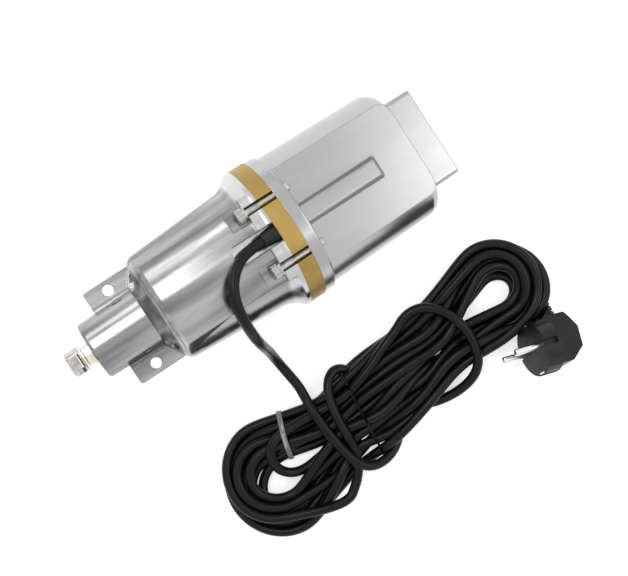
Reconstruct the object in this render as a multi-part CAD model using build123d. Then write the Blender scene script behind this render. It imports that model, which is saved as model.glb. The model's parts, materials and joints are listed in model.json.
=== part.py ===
from build123d import *
import os
from math import asin, atan2, cos, degrees, pi, radians, sin, sqrt, tan

# A submersible vibratory pump, lying on its side with its cord in a hank beside it.
# Every piece of the pump is made about the pump's own axis, which is X here: the outlet
# points to -X, the magnet to +X, and X = 0 is the joint face of the pump casing's flange.
# The finished pump is then laid down on the rim of its flange and the edge of its block.

# Casing joint
flange_radius = 49.0
flare_length = 11.5
flange_rim = 3.0
flange_step = 0.5
magnet_flange_radius = flange_radius - flange_step
magnet_flange_thickness = 8.3
ring_width = 11.0
ring_lip = 3.0
ring_wall = 11.0
ring_lip_reach = 4.0
ring_bore_radius = flange_radius - ring_wall
ring_lip_radius = ring_bore_radius - ring_lip_reach

# Casing screws, in two pairs above and below the axis
screw_inset = 4.5
screw_circle_radius = flange_radius - screw_inset
screw_angle = 26.0
screw_radius = 2.5
screw_slot_width = 5.8
screw_head_radius = 4.25
screw_head_height = 5.0
screw_socket_width = 4.0
screw_tip = 2.6
washer_radius = 5.0
washer_thickness = 1.0

# Lugs that carry the screw heads
lug_thickness = 9.5
lug_inner_y = 6.5
lug_outer_y = 29.0
head_pocket_length = 12.0
head_pocket_side = 6.6
notch_run = 36.0

# Pump casing
body_length = 83.0
body_inset = 7.4
body_taper = 4.2
body_root_radius = flange_radius - body_inset
body_end_radius = body_root_radius - body_taper
body_corner = 4.5
panel_rise = 2.2
panel_half_width = 27.5
shoulder_length = 8.0
shoulder_foot_radius = 21.5
column_length = 39.0
column_end_radius = 19.3
column_root_radius = 20.4
column_edge = 1.8
column_wall = 4.6

# Rope ears
ear_reach = 33.4
ear_length = 27.0
ear_thickness = 5.0
ear_corner = 2.0
ear_groove_width = 1.2
ear_groove_depth = 1.0
ear_hole_radius = 3.5
ear_hole_x = -102.0
ear_hole_y = 27.0

# Water ways inside the pump casing
chamber_radius = 32.5
chamber_depth = 64.0
seat_radius = 35.0
seat_depth = 14.0
partition_thickness = 6.0
inlet_chamber_radius = 31.5
inlet_chamber_half_height = 17.5
shoulder_wall = 3.5
inlet_port_radius = 4.6
inlet_port_circle = 27.0
inlet_port_angle = 33.0
valve_port_radius = 3.2
valve_port_circle = 11.5
valve_port_count = 6
duct_half_width = 11.0
duct_floor = 21.0
duct_mouth = 14.0
duct_roof = 32.0

# Outlet spigot and hose clamp
spigot_length = 17.0
spigot_root_radius = 8.3
spigot_root_length = 5.8
spigot_radius = 7.0
spigot_bore_radius = 4.5
spigot_thread_radius = 7.5
spigot_thread_length = 4.0
clamp_band_width = 9.0
clamp_band_thickness = 0.7
clamp_inset = 0.6
worm_radius = 2.6
worm_length = 9.0
worm_head_radius = 3.3
worm_head_length = 3.2
worm_housing_width = 8.4
worm_housing_height = 6.6
worm_slot = 0.9

# Magnet casing
drum_length = 85.0
drum_inset = 2.2
drum_taper = 1.1
drum_root_radius = magnet_flange_radius - drum_inset
drum_end_radius = drum_root_radius - drum_taper
drum_corner = 6.0
flat_root_height = 31.8
flat_end_height = 31.0
casing_wall = 4.2
block_length = 17.0
block_width = 61.0
block_height = 61.4
block_edge = 3.0
block_end_edge = 1.0
rib_length = 61.0
rib_width = 17.0
rib_height = 4.2
rib_corner = 3.5

# Electromagnet
pole_depth = 31.0
core_play = 0.2
core_width = block_width - 2 * casing_wall - core_play
core_stack = 42.0
core_leg = 17.0
yoke_thickness = 17.0
bobbin_wall = 1.2
bobbin_flange = 1.5
bobbin_height = 5.2
winding_height = 4.0
bobbin_clearance = 4.0
potting_setback = 2.0

# Vibrator
air_gap = 6.0
armature_thickness = 12.0
armature_width = 52.0
rod_radius = 4.0
rod_collar_radius = 8.0
rod_overhang = 2.0
absorber_hub_length = 14.0
absorber_hub_radius = 14.0
absorber_overhang = 2.0
absorber_web = 5.0
absorber_washer_radius = 13.0
absorber_washer_thickness = 2.0
diaphragm_thickness = 2.0
diaphragm_washer_radius = 10.0
diaphragm_washer_thickness = 2.0
guide_ring_radius = 28.0
rod_nut_width = 13.0
rod_nut_height = 6.5
adjusting_washer_radius = 8.0
adjusting_washer_thickness = 1.5
adjusting_washer_count = 3
piston_radius = 31.6
piston_thickness = 10.0
piston_bush_radius = 8.0

# Inlet check valve
valve_disc_radius = 17.5
valve_disc_thickness = 2.4
valve_lift = 0.8
valve_washer_radius = 9.0
valve_washer_thickness = 1.0
valve_bolt_radius = 2.5
valve_bolt_head_width = 8.0
valve_bolt_head_height = 3.5
valve_nut_height = 4.0

# Grommet and inner leads
cord_radius = 3.4
grommet_inset = 5.8
grommet_height = flange_radius - grommet_inset
grommet_radius = 4.2
grommet_nose_length = 10.0
grommet_nose_root_radius = 5.6
grommet_nose_tip_radius = 4.5
grommet_groove_depth = 4.3
grommet_depth = 19.7
grommet_foot_z = grommet_height - grommet_depth
lead_radius = 1.2
lead_spacing = 6.0
lead_drop = 18.8
lead_height = grommet_height - lead_drop

# Cord, hank and ties, beside the pump; the hank's centre and the route are in the laid-down frame
hank_centre = (27.75, -130.0)
hank_angle = 8.8
hank_left_place = -98.5
hank_left_radius = 42.0
hank_right_place = 97.5
hank_right_radius = 34.5
hank_waist_place = 42.0
hank_waist_radius = 29.4
hank_height = 24.0
hank_top_round = 8.0
hank_bottom_round = 2.5
hank_skin = 0.1
# Each tie: place along the hank, place across it, slant, span across, strap width, strap thickness
HANK_TIES = {
    "cable_tie": (-79.8, 22.6, -25.0, 32.0, 3.6, 1.4),
    "wire_tie": (-30.2, -0.4, -13.5, 60.2, 1.8, 1.4),
}
strap_round = 8.0
corner_share = 0.45
lead_first_run = 10.2
lead_last_run = 11.0
lead_place = 38.5
lead_end_height = 16.0
CORD_ROUTE = [
    (-11.0, -3.2, 101.6),
    (-18.6, -9.8, 105.6),
    (-23.7, -18.6, 106.9),
    (-26.2, -28.6, 105.0),
    (-27.3, -38.0, 98.8),
    (-27.9, -45.8, 89.2),
    (-28.3, -51.8, 77.2),
    (-28.7, -56.2, 63.0),
    (-29.0, -60.0, 48.4),
    (-29.3, -65.2, 35.8),
    (-29.4, -73.0, 25.8),
    (-28.8, -82.8, 18.8),
]

# Plug, in the laid-down frame: its face's centre, its pins' direction and its cord's direction
plug_place = (118.6, -160.3, 24.2)
plug_pin_way = (-0.886, 0.332, 0.324)
plug_cord_way = (0.219, 0.919, -0.311)
plug_face_radius = 18.4
plug_face_depth = 12.0
plug_depth = 33.0
plug_back_width = 22.0
plug_neck_reach = 18.0
plug_heel_reach = 14.0
plug_neck_width = 14.0
pin_radius = 2.4
pin_length = 19.0
pin_spacing = 19.0
earth_width = 6.0
earth_length = 9.0
earth_thickness = 1.0
earth_recess = 2.2
relief_length = 20.0
relief_root_radius = 6.2
relief_tip_radius = 4.6
relief_rings = 5
relief_depth = 19.5
relief_groove = 0.8

# Clearances
fit_gap = 0.05
moving_gap = 0.12
notch_gap = 0.9
soft_gap = 0.3

# Places along the axis that several pieces share
shoulder_x = -body_length
column_base_x = shoulder_x - shoulder_length
column_end_x = column_base_x - column_length
spigot_end_x = column_end_x - spigot_length
magnet_flange_x = ring_width
drum_x = ring_width + magnet_flange_thickness
drum_end_x = drum_x + drum_length
block_end_x = drum_end_x + block_length
pole_x = ring_width + pole_depth
armature_x = pole_x - air_gap - armature_thickness
absorber_x = -absorber_overhang
collar_x = absorber_x + absorber_hub_length + absorber_washer_thickness
diaphragm_x = -seat_depth
partition_x = -chamber_depth
screw_y = screw_circle_radius * sin(radians(screw_angle))
screw_z = screw_circle_radius * cos(radians(screw_angle))


def disc(start, end, radius):
    """A round bar along the pump's axis."""
    bar = Cylinder(radius, end - start, align=(Align.CENTER, Align.CENTER, Align.MIN))
    return Pos(start, 0, 0) * Rot(0, 90, 0) * bar


def block(x_low, x_high, y_low, y_high, z_low, z_high):
    size = (x_high - x_low, y_high - y_low, z_high - z_low)
    return Pos(x_low, y_low, z_low) * Box(*size, align=(Align.MIN, Align.MIN, Align.MIN))


def ring(start, end, outer, inner):
    return disc(start, end, outer) - disc(start, end, inner)


def turned(*outline):
    """A solid of revolution about the pump's axis, from points given as (x, radius)."""
    return revolve(make_face(Polyline(*outline, close=True)), Axis.X)


def hex_bar(start, end, width):
    """A hexagon bar along the pump's axis, width across its flats."""
    section = Plane.YZ.offset(start) * RegularPolygon(width / 2, 6, major_radius=False)
    return extrude(section, end - start)


def both_sides(piece):
    """The piece and its mirror image below the pump's middle plane."""
    return [piece, mirror(piece, Plane.XY)]


def at_screws(piece):
    """Copies of a piece, made on the axis, at the four casing screws."""
    places = [(y, z) for z in (screw_z, -screw_z) for y in (screw_y, -screw_y)]
    return [Pos(0, y, z) * piece for y, z in places]


def casing_body():
    """Body, flare and rim of the pump casing, turned in one profile."""
    x = shoulder_x
    foot = (column_base_x, shoulder_foot_radius)
    corner_foot = (x - body_corner * 0.35, body_end_radius - body_corner)
    corner_top = (x + body_corner, body_end_radius)
    corner_middle = (x + body_corner * 0.2, body_end_radius - body_corner * 0.28)
    flare_x = -flare_length - 4
    with BuildPart() as body:
        with BuildSketch(Plane.XY):
            with BuildLine():
                Polyline((0, 0), (column_base_x, 0), foot, corner_foot)
                ThreePointArc(corner_foot, corner_middle, corner_top)
                Polyline(corner_top, (flare_x, body_root_radius))
                flare_end = (-flange_rim, flange_radius - 0.4)
                Spline(
                    (flare_x, body_root_radius), flare_end,
                    tangents=((1, 0.03), (0.75, 1)), tangent_scalars=(1.2, 0.6),
                )
                Polyline(flare_end, (-flange_rim + 0.6, flange_radius), (0, flange_radius), (0, 0))
            make_face()
        revolve(axis=Axis.X)
    return body.part


def casing_panels():
    """The bulged faces over the water ducts, above and below."""
    end = shoulder_x + 1.2
    top = body_end_radius + panel_rise
    root = body_root_radius + panel_rise
    edge = 2.4
    bulge = turned(
        (end - 2, 0), (end - 2, top - 3 * edge), (end, top - edge), (end + edge, top), (0, root), (0, 0)
    )
    side = panel_half_width
    crest = sqrt(body_end_radius ** 2 - side ** 2) + 3
    slope = Polyline(
        (side, flange_radius), (side, crest), (side + 7, crest - 13), (-side - 7, crest - 13),
        (-side, crest), (-side, flange_radius), close=True,
    )
    wedge = extrude(Plane.YZ.offset(end - 3) * make_face(slope), -end - 3)
    return both_sides(bulge & wedge)


def casing_lugs():
    """Square lugs either side of each screw slot, trimmed to the flange's circle."""
    low = screw_z - screw_head_radius - 6
    pieces = []
    for side in (1, -1):
        y_low, y_high = sorted((side * lug_inner_y, side * lug_outer_y))
        pieces += both_sides(block(-lug_thickness, 0, y_low, y_high, low, flange_radius))
    rim = disc(-lug_thickness, 0, flange_radius - 0.5)
    return [piece & rim for piece in pieces]


def rope_ears():
    """Flat ears beside the column, with a groove along the column and a rope hole."""
    start = column_base_x + 1.5 - ear_length
    inner = column_root_radius - 2
    half = ear_thickness / 2
    ears = []
    for side in (1, -1):
        y_low, y_high = sorted((side * inner, side * ear_reach))
        ear = block(start, shoulder_x + 1, y_low, y_high, -half, half)
        outer_y = y_high if side > 0 else y_low
        ends = [e for e in ear.edges().filter_by(Axis.Z)
                if abs(e.center().X - start) < 0.1 and abs(e.center().Y - outer_y) < 0.1]
        ear = fillet(ends, ear_corner)
        for face in (half, -half):
            z_low, z_high = sorted((face, face - ear_groove_depth * face / half))
            groove_y = sorted((side * (column_root_radius + 0.1),
                               side * (column_root_radius + 0.1 + ear_groove_width)))
            ear -= block(start - 1, column_base_x, groove_y[0], groove_y[1], z_low, z_high)
        hole = Cylinder(ear_hole_radius, 3 * ear_thickness)
        ears.append(ear - Pos(ear_hole_x, side * ear_hole_y, 0) * hole)
    return ears


def water_ducts():
    """Ducts above and below the inlet chamber, from the working chamber to the column."""
    inner_x = column_base_x - 1
    outline = [
        (inner_x - 6, 4), (inner_x - 6, duct_mouth - 1.5), (inner_x, duct_mouth), (shoulder_x, duct_roof - 5),
        (shoulder_x + 5, duct_roof), (partition_x + 9, duct_roof), (partition_x + 9, duct_floor),
        (shoulder_x + 1.5, duct_floor), (column_base_x + 3, 9), (column_base_x + 2, 4),
    ]
    duct = extrude(Plane.XZ * make_face(Polyline(*outline, close=True)), duct_half_width, both=True)
    return both_sides(duct)


def casing_hollows():
    """Working chamber, seat, inlet chamber, column bore, ports and ducts."""
    working = turned(
        (partition_x, 0), (partition_x, chamber_radius), (diaphragm_x, chamber_radius),
        (diaphragm_x, seat_radius), (1, seat_radius), (1, 0),
    )
    inlet_start = shoulder_x + shoulder_wall
    inlet_end = partition_x - partition_thickness
    inlet = disc(inlet_start, inlet_end, inlet_chamber_radius)
    half = inlet_chamber_half_height
    inlet &= block(inlet_start, inlet_end, -flange_radius, flange_radius, -half, half)
    column = disc(column_end_x + column_wall, column_base_x + 2, column_end_radius - column_wall)
    thread = disc(column_end_x - 1, column_end_x + column_wall + 1, spigot_thread_radius)
    hollows = [working, inlet, column, thread, *water_ducts()]
    for angle in (inlet_port_angle, -inlet_port_angle, 180 - inlet_port_angle, 180 + inlet_port_angle):
        y = inlet_port_circle * cos(radians(angle))
        z = inlet_port_circle * sin(radians(angle))
        hollows.append(Pos(0, y, z) * disc(column_base_x - 1, inlet_start + 1, inlet_port_radius))
    ports = PolarLocations(valve_port_circle, valve_port_count)
    for place in ports:
        y, z = place.position.X, place.position.Y
        hollows.append(Pos(0, y, z) * disc(inlet_end - 1, partition_x + 1, valve_port_radius))
    hollows.append(disc(inlet_end - 1, partition_x + 1, valve_bolt_radius + fit_gap))
    return hollows


def screw_slots():
    """Open slots for the screws and flat-bottomed pockets for their heads."""
    cuts = []
    half = screw_slot_width / 2
    pocket_end = -lug_thickness
    pocket_start = pocket_end - head_pocket_length
    floor = screw_z - screw_head_radius - 1.0
    for y in (screw_y, -screw_y):
        slot = block(-lug_thickness - 1, 1, y - half, y + half, screw_z, flange_radius + 1)
        slot += Pos(0, y, screw_z) * disc(-lug_thickness - 1, 1, half)
        side = head_pocket_side
        pocket = block(pocket_start, pocket_end, y - side, y + side, floor, flange_radius + 1)
        cuts += both_sides(slot) + both_sides(pocket)
    return cuts


def make_pump_casing():
    column = turned(
        (column_end_x, 0), (column_end_x, column_end_radius - column_edge),
        (column_end_x + column_edge * 0.3, column_end_radius - column_edge * 0.3),
        (column_end_x + column_edge, column_end_radius),
        (shoulder_x + 2, column_root_radius), (shoulder_x + 2, 0),
    )
    casing = casing_body() + column
    for piece in [*casing_panels(), *rope_ears()]:
        casing += piece
    for cut in screw_slots():
        casing -= cut
    for lug in casing_lugs():
        casing += lug
    slots = [cut for cut in screw_slots() if cut.bounding_box().max.X > 0]
    for cut in slots + casing_hollows():
        casing -= cut
    return casing - cord_notch()


def cord_notch():
    """Notch between the inner lugs that runs out along the upper panel."""
    floor = grommet_height - grommet_nose_root_radius - notch_gap
    outline = [
        (1, floor), (-lug_thickness, floor), (-notch_run, body_root_radius + panel_rise),
        (-notch_run, flange_radius + 1), (1, flange_radius + 1),
    ]
    half = grommet_nose_root_radius + notch_gap
    return extrude(Plane.XZ * make_face(Polyline(*outline, close=True)), half, both=True)


def make_outlet_spigot():
    body = turned(
        (spigot_end_x, 0), (spigot_end_x, spigot_radius - 0.5), (spigot_end_x + 0.5, spigot_radius),
        (column_end_x - spigot_root_length, spigot_radius),
        (column_end_x - spigot_root_length, spigot_root_radius - 0.6),
        (column_end_x - spigot_root_length + 0.6, spigot_root_radius),
        (column_end_x, spigot_root_radius), (column_end_x, spigot_thread_radius - fit_gap),
        (column_end_x + spigot_thread_length, spigot_thread_radius - fit_gap),
        (column_end_x + spigot_thread_length, 0),
    )
    return body - disc(spigot_end_x - 1, column_end_x + spigot_thread_length + 1, spigot_bore_radius)


def clamp_frame():
    """Start of the clamp band, and the height of the worm's axis above the pump's axis."""
    start = spigot_end_x + clamp_inset
    outer = spigot_radius + fit_gap + 0.25 + clamp_band_thickness
    return start, outer, outer + worm_radius + 0.3


def make_clamp_band():
    """Band of the hose clamp with its worm housing on top."""
    start, outer, worm_z = clamp_frame()
    band = ring(start, start + clamp_band_width, outer, outer - clamp_band_thickness)
    middle = start + clamp_band_width / 2
    half = worm_housing_width / 2
    low = sqrt(outer ** 2 - (worm_length / 2) ** 2)
    housing = block(
        middle - half, middle + half, -worm_length / 2, worm_length / 2,
        low - 1.5, worm_z - worm_radius - 0.5 + worm_housing_height,
    )
    tops = housing.edges().filter_by(Axis.Y).sort_by(Axis.Z)[-2:]
    housing = fillet(tops, worm_radius * 0.8)
    housing -= disc(start - 1, start + clamp_band_width + 1, outer)
    bore = Cylinder(worm_radius + fit_gap, worm_length + 2)
    housing -= Pos(middle, 0, worm_z) * Rot(90, 0, 0) * bore
    tail = ring(start + 0.6, start + clamp_band_width - 0.6, outer + clamp_band_thickness, outer)
    wrap = block(start, start + clamp_band_width, worm_length / 2, outer + 2, 0, outer + 2)
    return band + housing + (tail & wrap)


def make_clamp_screw():
    """Worm screw of the clamp: shank, hexagon head and screwdriver slot."""
    start, outer, worm_z = clamp_frame()
    middle = start + clamp_band_width / 2
    shank = Cylinder(worm_radius, worm_length, align=(Align.CENTER, Align.CENTER, Align.MIN))
    face = Plane.XY.offset(-worm_head_length - moving_gap)
    head = extrude(face * RegularPolygon(worm_head_radius, 6), worm_head_length)
    neck = Cylinder(worm_radius * 0.8, 4 * moving_gap)
    groove = Pos(0, 0, -worm_head_length) * Box(worm_slot, 3 * worm_head_radius, worm_head_length)
    screw = shank + head + neck - groove
    return Pos(middle, -worm_length / 2, worm_z) * Rot(-90, 0, 0) * screw


def make_spacer_ring():
    """Gold ring between the casings, with an inner lip and a groove at each screw."""
    band = ring(0, ring_width, flange_radius, ring_bore_radius)
    lip = ring(ring_width - ring_lip, ring_width, ring_bore_radius + 1, ring_lip_radius)
    spacer = band + lip
    half = screw_slot_width / 2
    for y in (screw_y, -screw_y):
        groove = block(-1, ring_width + 1, y - half, y + half, screw_z, flange_radius + 1)
        groove += Pos(0, y, screw_z) * disc(-1, ring_width + 1, half)
        for cut in both_sides(groove):
            spacer -= cut
    return spacer - Pos(0, 0, grommet_height) * disc(-1, ring_width + 1, grommet_radius)


def drum_flats(start, end, height_start, height_end):
    """A tapered slab that cuts the drum's two flats."""
    width = 3 * flange_radius
    first = Plane.YZ.offset(start) * Rectangle(width, 2 * height_start)
    second = Plane.YZ.offset(end) * Rectangle(width, 2 * height_end)
    return loft([first, second])


def drum_shell():
    """Outside of the magnet casing's drum."""
    round_body = turned(
        (drum_x - 1, 0), (drum_x - 1, drum_root_radius),
        (drum_end_x - drum_corner, drum_end_radius),
        (drum_end_x - drum_corner * 0.29, drum_end_radius - drum_corner * 0.29),
        (drum_end_x, drum_end_radius - drum_corner), (drum_end_x, 0),
    )
    return round_body & drum_flats(drum_x - 1, drum_end_x, flat_root_height, flat_end_height)


def core_block():
    """Square block beyond the drum that holds the core's yoke."""
    half_width, half_height = block_width / 2, block_height / 2
    body = block(drum_end_x - 8, block_end_x, -half_width, half_width, -half_height, half_height)
    body = fillet(body.edges().filter_by(Axis.X), block_edge)
    return chamfer(body.faces().sort_by(Axis.X)[-1].edges(), block_end_edge * 0.6)


def casing_rib():
    """Tapered rib on the upper flat, with rounded corners at its far end."""
    centre = Pos(drum_x + rib_length / 2 - 2, 0, flat_end_height - 2)
    outline = RectangleRounded(rib_length + 4, rib_width + 1.5, rib_corner)
    rib = extrude(centre * outline, rib_height + 2.6, taper=32)
    return chamfer(rib.faces().sort_by(Axis.Z)[-1].edges(), 0.6)


def magnet_cavity():
    """Hollow of the magnet casing: a flat-sided bore and the yoke's pocket."""
    height = 2 * (flat_end_height - casing_wall)
    floor = drum_end_x - casing_wall
    bore = disc(magnet_flange_x - 1, floor, drum_end_radius - casing_wall + 1)
    bore &= block(magnet_flange_x - 1, floor, -flange_radius, flange_radius, -height / 2, height / 2)
    half_width, half_height = block_width / 2 - casing_wall, block_height / 2 - casing_wall
    pocket = block(floor - 1, block_end_x - casing_wall, -half_width, half_width, -half_height, half_height)
    return bore + pocket


def make_magnet_casing():
    flange = disc(magnet_flange_x, drum_x, magnet_flange_radius)
    flange = fillet(flange.edges().sort_by(Axis.X)[-1], 1.4)
    casing = flange + drum_shell() + core_block() + casing_rib()
    casing &= disc(magnet_flange_x, block_end_x + 1, 2 * flange_radius)
    casing -= magnet_cavity()
    for hole in at_screws(disc(magnet_flange_x - 1, drum_x + 1, screw_radius + fit_gap)):
        casing -= hole
    return casing - grommet_groove(grommet_radius)


def grommet_groove(half_width):
    """Radial groove in the magnet flange's face that takes the grommet's foot."""
    end = magnet_flange_x + grommet_groove_depth
    groove = block(magnet_flange_x - 1, end, -half_width, half_width, grommet_foot_z, grommet_height)
    return groove + Pos(0, 0, grommet_height) * disc(magnet_flange_x - 1, end, half_width)


def make_cord_grommet():
    """Rubber grommet: tapered nose in the notch, neck through the ring, foot in the groove."""
    nose = turned(
        (-grommet_nose_length, 0), (-grommet_nose_length, grommet_nose_tip_radius),
        (-1.5, grommet_nose_root_radius), (0, grommet_nose_root_radius), (0, 0),
    )
    neck = disc(0, magnet_flange_x, grommet_radius - fit_gap)
    foot = grommet_groove(grommet_radius - fit_gap)
    foot &= disc(magnet_flange_x, magnet_flange_x + grommet_groove_depth - fit_gap, flange_radius)
    return Pos(0, 0, grommet_height) * (nose + neck) + foot


def make_inner_leads():
    """Two insulated leads from the grommet's foot to the potting."""
    start = magnet_flange_x + grommet_groove_depth
    end = pole_x + potting_setback
    lead = Pos(0, 0, lead_height) * disc(start, end, lead_radius)
    return [Pos(0, side * lead_spacing / 2, 0) * lead for side in (1, -1)]


def make_casing_screws():
    start = -lug_thickness - washer_thickness
    head = disc(start - screw_head_height, start, screw_head_radius)
    head = chamfer(head.edges().sort_by(Axis.X)[0], 0.5)
    head -= hex_bar(start - screw_head_height, start - screw_head_height * 0.45, screw_socket_width)
    shank = disc(start, drum_x + screw_tip, screw_radius)
    shank = chamfer(shank.edges().sort_by(Axis.X)[-1], 0.5)
    return at_screws(head + shank)


def make_screw_washers():
    start = -lug_thickness - washer_thickness
    return at_screws(ring(start, -lug_thickness, washer_radius, screw_radius + fit_gap))


def make_magnet_core():
    """U-shaped lamination stack: two legs and a yoke."""
    end = block_end_x - casing_wall - fit_gap
    half_width, half_stack = core_width / 2, core_stack / 2
    core = block(pole_x, end, -half_width, half_width, -half_stack, half_stack)
    window = half_width - core_leg
    return core - block(pole_x - 1, end - yoke_thickness, -window, window, -half_stack, half_stack)


def leg_sleeve(start, end, inner, outer):
    """A square sleeve round each leg of the core, between two distances from the leg."""
    sleeves = []
    for side in (1, -1):
        centre = side * (core_width - core_leg) / 2
        shapes = []
        for grow in (outer, inner):
            half_width, half_height = core_leg / 2 + grow, core_stack / 2 + grow
            shapes.append(block(
                start, end, centre - half_width, centre + half_width, -half_height, half_height))
        sleeves.append(shapes[0] - shapes[1])
    return sleeves


def coil_span():
    end = block_end_x - casing_wall - fit_gap - yoke_thickness - 1
    return pole_x + bobbin_clearance, end


def make_coil_bobbins():
    start, end = coil_span()
    tubes = leg_sleeve(start, end, fit_gap, bobbin_wall)
    fronts = leg_sleeve(start, start + bobbin_flange, fit_gap, bobbin_height)
    backs = leg_sleeve(end - bobbin_flange, end, fit_gap, bobbin_height)
    return [tube + front + back for tube, front, back in zip(tubes, fronts, backs)]


def make_coil_windings():
    start, end = coil_span()
    return leg_sleeve(start + bobbin_flange, end - bobbin_flange, bobbin_wall, bobbin_wall + winding_height)


def make_potting():
    """Compound that fills the magnet casing round the core and coils."""
    potting = magnet_cavity() & disc(pole_x + potting_setback, block_end_x, 2 * flange_radius)
    start, end = coil_span()
    half_width, half_stack = core_width / 2, core_stack / 2
    potting -= block(pole_x, block_end_x, -half_width, half_width, -half_stack, half_stack)
    gap = half_width - core_leg
    window = block(
        pole_x + potting_setback, end + 1, -gap, gap, -half_stack, half_stack)
    potting += window
    for envelope in leg_sleeve(start, end, -0.01, bobbin_height):
        potting -= envelope
    return potting


def make_armature():
    half_width, half_stack = armature_width / 2, core_stack / 2
    plate = block(armature_x, armature_x + armature_thickness, -half_width, half_width, -half_stack, half_stack)
    plate = chamfer(plate.edges().filter_by(Axis.X), 1.5)
    return plate - disc(armature_x - 1, pole_x, rod_radius)


def rod_stack():
    """Places of the pieces threaded on the rod, from the shock absorber to the piston's end."""
    places = {}
    x = absorber_x - absorber_washer_thickness
    places["front_washer"] = x
    washer_end = diaphragm_x + diaphragm_thickness + diaphragm_washer_thickness
    places["sleeve"] = (washer_end, x)
    places["diaphragm_washers"] = (diaphragm_x + diaphragm_thickness, diaphragm_x - diaphragm_washer_thickness)
    x = diaphragm_x - diaphragm_washer_thickness - rod_nut_height
    nuts = [x]
    x -= adjusting_washer_count * adjusting_washer_thickness
    places["adjusting"] = x
    nuts.append(x - rod_nut_height)
    x = nuts[-1] - piston_thickness
    places["piston"] = x
    nuts.append(x - rod_nut_height)
    places["nuts"] = nuts
    places["rod_end"] = nuts[-1] - rod_overhang
    return places


def make_vibrator_rod():
    """Rod with the collar that stands between the armature and the shock absorber."""
    start = rod_stack()["rod_end"]
    end = armature_x + armature_thickness
    return turned(
        (start, 0), (start, rod_radius - 1), (start + 1, rod_radius), (collar_x, rod_radius),
        (collar_x, rod_collar_radius), (armature_x, rod_collar_radius), (armature_x, rod_radius),
        (end, rod_radius), (end, 0),
    )


def make_rod_nuts():
    hole = disc(rod_stack()["rod_end"] - 1, 0, rod_radius)
    return [hex_bar(x, x + rod_nut_height, rod_nut_width) - hole for x in rod_stack()["nuts"]]


def make_adjusting_washers():
    start = rod_stack()["adjusting"]
    step = adjusting_washer_thickness
    starts = [start + index * step for index in range(adjusting_washer_count)]
    return [ring(x, x + step, adjusting_washer_radius, rod_radius) for x in starts]


def make_piston_bush():
    start = rod_stack()["piston"]
    return ring(start, start + piston_thickness, piston_bush_radius, rod_radius)


def make_piston():
    """Rubber piston with a dished face and a thin lip, bonded to its bush."""
    start = rod_stack()["piston"]
    end = start + piston_thickness
    hub = piston_bush_radius
    return turned(
        (start + 1, hub), (start + 1, hub + 5), (start + 3, piston_radius - 4), (start, piston_radius - 1.5),
        (start + 0.5, piston_radius), (start + 3.5, piston_radius - 0.5), (start + 6, piston_radius - 4),
        (end - 1, hub + 5), (end - 1, hub),
    )


def make_shock_absorber():
    """Thick rubber disc that carries the vibrator: clamped rim, thin web, thick hub."""
    rim_end = ring_width - ring_lip
    web_start = (rim_end - absorber_web) / 2
    web_end = web_start + absorber_web
    bore = rod_radius + fit_gap
    rim_inner = ring_lip_radius - 1
    hub_end = absorber_x + absorber_hub_length
    return turned(
        (0, ring_bore_radius), (rim_end, ring_bore_radius), (rim_end, rim_inner),
        (web_end, rim_inner - 2), (web_end, absorber_hub_radius + 2), (hub_end, absorber_hub_radius),
        (hub_end, bore), (absorber_x, bore), (absorber_x, absorber_hub_radius),
        (web_start, absorber_hub_radius + 2), (web_start, rim_inner - 2), (0, rim_inner),
    )


def make_absorber_washers():
    front = rod_stack()["front_washer"]
    back = collar_x - absorber_washer_thickness
    size = (absorber_washer_radius, rod_radius)
    return [ring(x, x + absorber_washer_thickness, *size) for x in (front, back)]


def make_distance_sleeve():
    start, end = rod_stack()["sleeve"]
    return ring(start, end, rod_radius + 2.5, rod_radius)


def make_diaphragm():
    """Thin rubber disc that keeps water out and centres the rod."""
    end = diaphragm_x + diaphragm_thickness
    return ring(diaphragm_x, end, seat_radius, rod_radius + fit_gap)


def make_diaphragm_washers():
    starts = rod_stack()["diaphragm_washers"]
    size = (diaphragm_washer_radius, rod_radius)
    return [ring(x, x + diaphragm_washer_thickness, *size) for x in starts]


def make_guide_ring():
    """Ring that clamps the diaphragm's rim in the casing's seat."""
    return ring(diaphragm_x + diaphragm_thickness, 0, seat_radius, guide_ring_radius)


def valve_places():
    """Faces of the valve's pieces: disc start, washer start and head start."""
    disc_start = partition_x + moving_gap
    washer_start = disc_start + valve_disc_thickness + valve_lift + moving_gap
    return disc_start, washer_start, washer_start + valve_washer_thickness


def make_inlet_valve_disc():
    """Rubber disc that covers the ports, with a thicker hub round the bolt."""
    start = valve_places()[0]
    end = start + valve_disc_thickness
    bore = valve_bolt_radius + moving_gap
    return turned(
        (start, bore), (start, valve_disc_radius), (end - 1, valve_disc_radius),
        (end - 0.6, bore + 5), (end, bore + 4), (end, bore),
    )


def make_valve_washer():
    start = valve_places()[1]
    return ring(start, start + valve_washer_thickness, valve_washer_radius, valve_bolt_radius)


def make_valve_bolt():
    head_start = valve_places()[2]
    head = hex_bar(head_start, head_start + valve_bolt_head_height, valve_bolt_head_width)
    end = partition_x - partition_thickness - valve_nut_height - 1.5
    return head + disc(end, head_start, valve_bolt_radius)


def make_valve_nut():
    start = partition_x - partition_thickness - valve_nut_height
    nut = hex_bar(start, start + valve_nut_height, valve_bolt_head_width)
    return nut - disc(start - 1, 0, valve_bolt_radius)


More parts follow.
